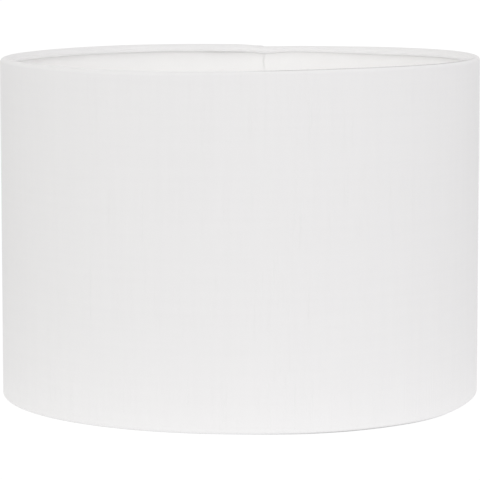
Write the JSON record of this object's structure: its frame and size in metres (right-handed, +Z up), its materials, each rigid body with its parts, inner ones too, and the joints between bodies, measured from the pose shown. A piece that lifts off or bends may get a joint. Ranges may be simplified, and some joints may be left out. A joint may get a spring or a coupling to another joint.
{
  "type": "drum lamp shade",
  "caption": "White fabric drum lamp shade with rolled hems over wire hoops, a wire spider near its lower rim and a loose reducer ring for the lampholder.",
  "frame": {"origin": "middle of the circle that the lower rim stands on", "axes": "+Z up along the drum's axis, -Y towards the front, +Y towards the lap in the cloth, which is a little to the +X side of the back"},
  "size_m": [0.35, 0.3505, 0.25],
  "materials": {
    "shade_cloth": "matte",
    "liner_plastic": "satin",
    "tape_film": "satin",
    "white_coated_steel": "satin",
    "reducer_plastic": "satin"
  },
  "bodies": {
    "shade": {"fabric_cover": "shade_cloth", "liner": "liner_plastic", "seam_tape": "tape_film", "top_ring": "white_coated_steel", "bottom_ring": "white_coated_steel", "spider_arm_1": "white_coated_steel", "spider_arm_2": "white_coated_steel", "spider_arm_3": "white_coated_steel", "fitter_ring": "white_coated_steel"},
    "reducer": {"reducer_ring": "reducer_plastic"}
  },
  "joints": [
    {"name": "reducer_lift", "type": "slide", "parent": "shade", "child": "reducer", "axis": [0, 0, 1], "range_m": [0, 0.26]}
  ]
}
